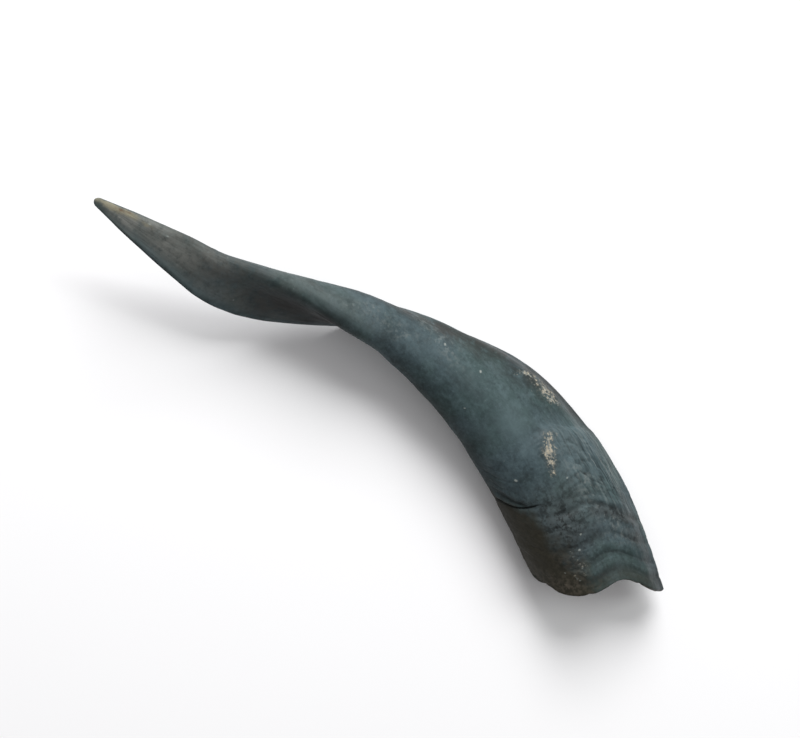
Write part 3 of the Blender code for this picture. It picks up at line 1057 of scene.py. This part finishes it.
@dataclass(frozen=True)
class Tone:
    """A colour laid over what is below it, within a mask and a range of a noise."""

    colour: Colour
    share: float
    mask: Mark | Part | None = None
    swells: Swells | None = None
    reads: tuple[float, float] = (0.0, 1.0)         # the noise at which it is absent, and full
    edge: tuple[float, float] | None = None         # the same for the mask, where it is sharpened

    def cover(self, w: Wiring) -> bpy.types.NodeSocket:
        """Wire how much of the tone there is.

        Args:
            w: the material's wiring.

        Returns:
            The cover, from 0 to the tone's share.
        """
        cover = self.share
        if self.mask:
            mask = w.mask(self.mask)
            cover = w.math("MULTIPLY", cover, w.between(mask, *self.edge) if self.edge else mask)
        if self.swells:
            cover = w.math("MULTIPLY", cover, w.between(w.noise(self.swells), *self.reads))
        return cover


@dataclass(frozen=True)
class SlateKeratin:
    """Weathered goat-horn keratin, slate-coloured, with scurf, grime and worn places, and with painted
    shade and painted reflections in its colour.
    """

    blue: Colour = (0.044, 0.066, 0.075)
    green: Colour = (0.036, 0.060, 0.059)
    dark: Colour = (0.014, 0.021, 0.022)
    # Blue-grey of the painted sky reflection, also used for light mottling.
    sky: Colour = (0.085, 0.122, 0.132)
    strip: Colour = (0.056, 0.054, 0.048)
    # Brown-grey of the painted shade along the front edge.
    front_edge_shade: Colour = (0.021, 0.0225, 0.020)
    ash: Colour = (0.058, 0.062, 0.059)
    # Olive grime, partly painted shade on the base's back side; also the dark fibres inside the hollow.
    grime_and_shade: Colour = (0.0225, 0.0205, 0.0135)
    dust: Colour = (0.075, 0.064, 0.050)
    # Colour of the painted shade along the back edge and keel.
    painted_shade: Colour = (0.010, 0.013, 0.014)
    # Near-black of the painted shade in the blade's hollow, with its darker horn.
    hollow_shade_and_dark_horn: Colour = (0.006, 0.0058, 0.0055)
    # Near-black of the painted shade in grooves, also the dark blots.
    crevice: Colour = (0.006, 0.008, 0.008)
    scuff: Colour = (0.150, 0.170, 0.166)
    pale: Colour = (0.165, 0.170, 0.158)
    halo: Colour = (0.085, 0.084, 0.072)
    flake: Colour = (0.350, 0.310, 0.240)
    speck: Colour = (0.240, 0.260, 0.245)
    worn: Colour = (0.240, 0.225, 0.165)
    rust: Colour = (0.110, 0.060, 0.030)
    hollow: Colour = (0.100, 0.080, 0.056)

    broad: Swells = Swells(0.030, 3)
    smudges: Swells = Swells(0.011, 3)
    streaks: Swells = Swells(0.014, across=0.0022)
    mottle: Swells = Swells(0.0046, rough=0.65)
    granules: Swells = Swells(0.0016, 3, 0.6)
    lines: Swells = Swells(0.020, 3, across=0.0013)
    blots: Swells = Swells(0.0032, rough=0.65)
    fading: Swells = Swells(0.0032, rough=0.6)
    rubbing: Swells = Swells(0.0024, rough=0.65)
    dusting: Swells = Swells(0.0020, rough=0.65)
    wearing: Swells = Swells(0.0030, 5, 0.7)
    wearing_reads: tuple[float, float] = (0.80, 1.45)       # of mask and noise together
    blue_reads: tuple[float, float] = (0.38, 0.62)

    crust_breaks: Swells = Swells(0.0016, rough=0.75)
    crust_clusters: Swells = Swells(0.0038, 2)
    crust_shades: Swells = Swells(0.0013, 3)
    crust_break_share: float = 3.2
    crust_cluster_share: float = 1.3
    crust_needs: float = 2.65           # what mask and noises have to come to
    crust_edge: tuple[float, float] = (0.25, 0.80)
    crust_shade_reads: tuple[float, float] = (0.36, 0.62)

    core_fibres: Swells = Swells(0.040, across=0.0018)
    core_reads: tuple[float, float] = (0.35, 0.7)

    dulling: Swells = Swells(0.004)
    roughness: float = 0.50
    rough_swing: float = 0.28
    rough_flakes: float = 0.85
    specular: float = 0.12

    bump_fibres: Swells = Swells(0.012, 3, across=0.0007)
    bump_pores: Swells = Swells(0.0007, 3, 0.6)
    bump_fibre_share: float = 0.4
    bump_pore_share: float = 0.5
    bump_crust_share: float = 0.5
    bump_strength: float = 0.55
    bump_distance: float = 0.00022

    @property
    def skin(self) -> tuple[Tone, ...]:
        """The tones of the skin, its stains, its painted shade and painted reflections, and the painted
        shade of its grooves.

        Returns:
            The tones, from the lowest up.
        """
        return (
            Tone(self.sky, 0.35, swells=self.smudges, reads=(0.52, 0.70)),
            Tone(self.dark, 0.45, swells=self.smudges, reads=(0.48, 0.32)),
            Tone(self.dark, 0.30, swells=self.streaks, reads=(0.50, 0.75)),
            Tone(self.sky, 0.30, swells=self.mottle, reads=(0.50, 0.68)),
            Tone(self.dark, 0.42, swells=self.mottle, reads=(0.48, 0.33)),
            Tone(self.sky, 0.28, swells=self.granules, reads=(0.52, 0.70)),
            Tone(self.dark, 0.30, swells=self.granules, reads=(0.48, 0.34)),
            # Painted reflection of the sky, partly rubbed horn.
            Tone(self.sky, 0.55, Mark.SKY_REFLECTION),
            Tone(self.dark, 0.8, Mark.FIBRE, self.lines, (0.50, 0.38)),
            Tone(self.scuff, 0.65, Mark.FIBRE, self.lines, (0.54, 0.66)),
            Tone(self.ash, 0.5, Mark.BLOTCH),
            Tone(self.crevice, 0.75, Mark.BLOTCH, self.blots, (0.53, 0.41)),
            Tone(self.strip, 0.85, Mark.STRIP, self.mottle, (0.25, 0.60)),
            # Painted shade along the front edge.
            Tone(self.front_edge_shade, 0.95, Mark.BROWN, self.mottle, (0.75, 0.45)),
            Tone(self.pale, 1.0, Mark.PALE, self.fading, (0.08, 0.60)),
            Tone(self.scuff, 0.8, Mark.SCUFF, self.rubbing, (0.47, 0.66)),
            # Olive grime that is partly painted shade on the base's back side.
            Tone(self.grime_and_shade, 0.97, Mark.GRIME_AND_SHADE),
            Tone(self.dust, 0.8, Mark.DUST, self.dusting, (0.40, 0.62)),
            # Painted shade along the back edge and keel.
            Tone(self.painted_shade, 0.8, Mark.PAINTED_SHADE),
            # Painted shade in the blade's hollow, partly darker horn.
            Tone(self.hollow_shade_and_dark_horn, 0.92, Mark.SMOKE),
            # Painted shade in the low places of the relief.
            Tone(self.crevice, 0.85, Part.GROOVE_SHADE),
        )

    @property
    def spots(self) -> tuple[Tone, ...]:
        """The tones between worn horn and scurf.

        Returns:
            The tones, from the lowest up.
        """
        return (
            Tone(self.rust, 1.0, Mark.RUST, self.mottle, (0.35, 0.60)),
            Tone(self.halo, 0.55, Mark.FLAKE, self.granules, (0.35, 0.60), (0.15, 1.0)),
        )

    def colour(self, w: Wiring) -> bpy.types.NodeSocket:
        """Wire the colour, from the ground tone up to the smallest chips.

        Args:
            w: the material's wiring.

        Returns:
            The colour.
        """
        laid = w.blend(w.between(w.noise(self.broad), *self.blue_reads), self.blue, self.green)
        for tone in self.skin:
            laid = w.blend(tone.cover(w), laid, tone.colour)
        bare = w.math("ADD", w.mask(Mark.WORN), w.noise(self.wearing))
        laid = w.blend(w.between(bare, *self.wearing_reads), laid, self.worn)
        for tone in self.spots:
            laid = w.blend(tone.cover(w), laid, tone.colour)
        shades = w.between(w.noise(self.crust_shades), *self.crust_shade_reads)
        laid = w.blend(self.crust(w), laid, w.blend(shades, self.scuff, self.flake))
        chips = Tone(self.speck, 1.0, Mark.SPECK, edge=(0.35, 0.75))
        laid = w.blend(chips.cover(w), laid, chips.colour)
        core = w.between(w.noise(self.core_fibres), *self.core_reads)
        return w.blend(w.mask(Part.INSIDE), laid, w.blend(core, self.hollow, self.grime_and_shade))

    def crust(self, w: Wiring) -> bpy.types.NodeSocket:
        """Wire where scurf still sticks within its patches.

        Args:
            w: the material's wiring.

        Returns:
            The cover, from 0 to 1.
        """
        left = w.math("SUBTRACT", w.mask(Mark.FLAKE), self.crust_needs)
        left = w.math("MULTIPLY_ADD", w.noise(self.crust_breaks), self.crust_break_share, left)
        left = w.math("MULTIPLY_ADD", w.noise(self.crust_clusters), self.crust_cluster_share, left)
        return w.between(left, *self.crust_edge)

    def dullness(self, w: Wiring) -> bpy.types.NodeSocket:
        """Wire the roughness: satin skin, dull scurf and a dull hollow.

        Args:
            w: the material's wiring.

        Returns:
            The roughness.
        """
        least = self.roughness - self.rough_swing / 2
        dull = w.math("MULTIPLY_ADD", w.noise(self.dulling), self.rough_swing, least)
        for cover in (self.crust(w), w.mask(Part.INSIDE)):
            dull = w.math("MAXIMUM", dull, w.math("MULTIPLY", cover, self.rough_flakes))
        return dull

    def bump(self, w: Wiring) -> bpy.types.NodeSocket:
        """Wire the finest unevenness: fibres, pores and scurf.

        Args:
            w: the material's wiring.

        Returns:
            The bent normal.
        """
        height = w.math("MULTIPLY", w.noise(self.bump_pores), self.bump_pore_share)
        height = w.math("MULTIPLY_ADD", w.noise(self.bump_fibres), self.bump_fibre_share, height)
        height = w.math("MULTIPLY_ADD", self.crust(w), self.bump_crust_share, height)
        values = {"Height": height, "Strength": self.bump_strength, "Distance": self.bump_distance}
        return w.node("ShaderNodeBump", values).outputs["Normal"]

    def material(self) -> bpy.types.Material:
        """Build the material.

        Returns:
            The finished material.
        """
        made = bpy.data.materials.new("slate_keratin")
        made.use_nodes = True
        w = Wiring(made.node_tree)
        shader = made.node_tree.nodes["Principled BSDF"]
        shader.inputs["Specular IOR Level"].default_value = self.specular
        w.tree.links.new(self.colour(w), shader.inputs["Base Color"])
        w.tree.links.new(self.dullness(w), shader.inputs["Roughness"])
        w.tree.links.new(self.bump(w), shader.inputs["Normal"])
        return made


@dataclass(frozen=True)
class StudioLamp:
    """One soft square lamp, placed as the photograph's viewer would say."""

    name: str
    towards: tuple[float, float, float]   # right, up and towards the viewer
    distance: float
    size: float
    power: float
    tint: Colour = (1.0, 1.0, 1.0)


@dataclass
class Studio:
    """Pale floor, soft lamps and the camera, all set from the view of the photograph."""

    sheath: HornSheath
    floor_size: float = 6.0
    floor_colour: Colour = (0.86, 0.855, 0.865)
    floor_roughness: float = 0.95
    floor_specular: float = 0.1
    sky_colour: Colour = (1.0, 0.995, 1.0)
    sky_strength: float = 0.45
    lamps: tuple[StudioLamp, ...] = (
        StudioLamp("key_lamp", (0.25, 0.82, 0.58), 1.4, 0.90, 24.0),
        StudioLamp("side_lamp", (0.95, 0.20, 0.40), 1.3, 0.45, 3.0, (0.95, 1.0, 0.97)),
    )
    camera_distance: float = 0.950
    picture_width: int = 800
    metres_per_pixel: float = 0.00043     # at the drawing plane
    sensor_width: float = 36.0
    sees_as_far_as: float = 20.0

    def in_room(self, spot: Vector) -> Vector:
        """Move a spot from the drawing's frame into the room."""
        return self.sheath.turn @ spot + self.sheath.lift

    def build(self) -> None:
        """Make the floor, the lamps, the sky and the camera."""
        self.add_floor()
        self.add_sky()
        for lamp in self.lamps:
            self.add_lamp(lamp)
        self.add_camera()

    def add_floor(self) -> None:
        """Lay a plain pale floor under the horn."""
        half = self.floor_size / 2
        mesh = bpy.data.meshes.new("studio_floor")
        corners = [(-half, -half, 0), (half, -half, 0), (half, half, 0), (-half, half, 0)]
        mesh.from_pydata(corners, [], [(0, 1, 2, 3)])
        floor = bpy.data.objects.new("studio_floor", mesh)
        bpy.context.scene.collection.objects.link(floor)
        paint = bpy.data.materials.new("pale_floor")
        paint.use_nodes = True
        shader = paint.node_tree.nodes["Principled BSDF"]
        shader.inputs["Base Color"].default_value = (*self.floor_colour, 1.0)
        shader.inputs["Roughness"].default_value = self.floor_roughness
        shader.inputs["Specular IOR Level"].default_value = self.floor_specular
        mesh.materials.append(paint)

    def add_sky(self) -> None:
        """Fill the room with even light."""
        world = bpy.data.worlds.new("studio")
        world.use_nodes = True
        background = world.node_tree.nodes["Background"]
        background.inputs["Color"].default_value = (*self.sky_colour, 1.0)
        background.inputs["Strength"].default_value = self.sky_strength
        bpy.context.scene.world = world

    def add_lamp(self, lamp: StudioLamp) -> None:
        """Hang one soft lamp that faces the middle of the horn.

        Args:
            lamp: its place, size, power and tint.
        """
        light = bpy.data.lights.new(lamp.name, "AREA")
        light.shape = "SQUARE"
        light.size = lamp.size
        light.energy = lamp.power
        light.color = lamp.tint
        hung = bpy.data.objects.new(lamp.name, light)
        target = self.in_room(Vector((0, 0, 0)))
        spot = self.in_room(Vector(lamp.towards).normalized() * lamp.distance)
        hung.location = spot
        hung.rotation_euler = (spot - target).to_track_quat("Z", "Y").to_euler()
        bpy.context.scene.collection.objects.link(hung)

    def add_camera(self) -> None:
        """Set the camera where the photograph was taken from."""
        lens = bpy.data.cameras.new("photo_view")
        lens.sensor_width = self.sensor_width
        seen_width = self.picture_width * self.metres_per_pixel
        lens.lens = self.camera_distance * self.sensor_width / seen_width
        lens.clip_end = self.sees_as_far_as
        camera = bpy.data.objects.new("photo_view", lens)
        camera.location = self.in_room(Vector((0, 0, self.camera_distance)))
        camera.rotation_euler = self.sheath.turn.to_euler()
        bpy.context.scene.collection.objects.link(camera)
        bpy.context.scene.camera = camera


def main() -> None:
    """Build the horn and its studio."""
    logging.basicConfig(level=logging.INFO)
    sheath = HornSheath()
    horn = sheath.build()
    horn.data.materials.append(SlateKeratin().material())
    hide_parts("horn")
    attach(horn, "root")
    LOG.info("%s: %d points, %d faces", horn.name, len(horn.data.vertices), len(horn.data.polygons))
    Studio(sheath).build()
    bpy.context.scene.view_settings.view_transform = "Standard"


if __name__ == "__main__":
    main()
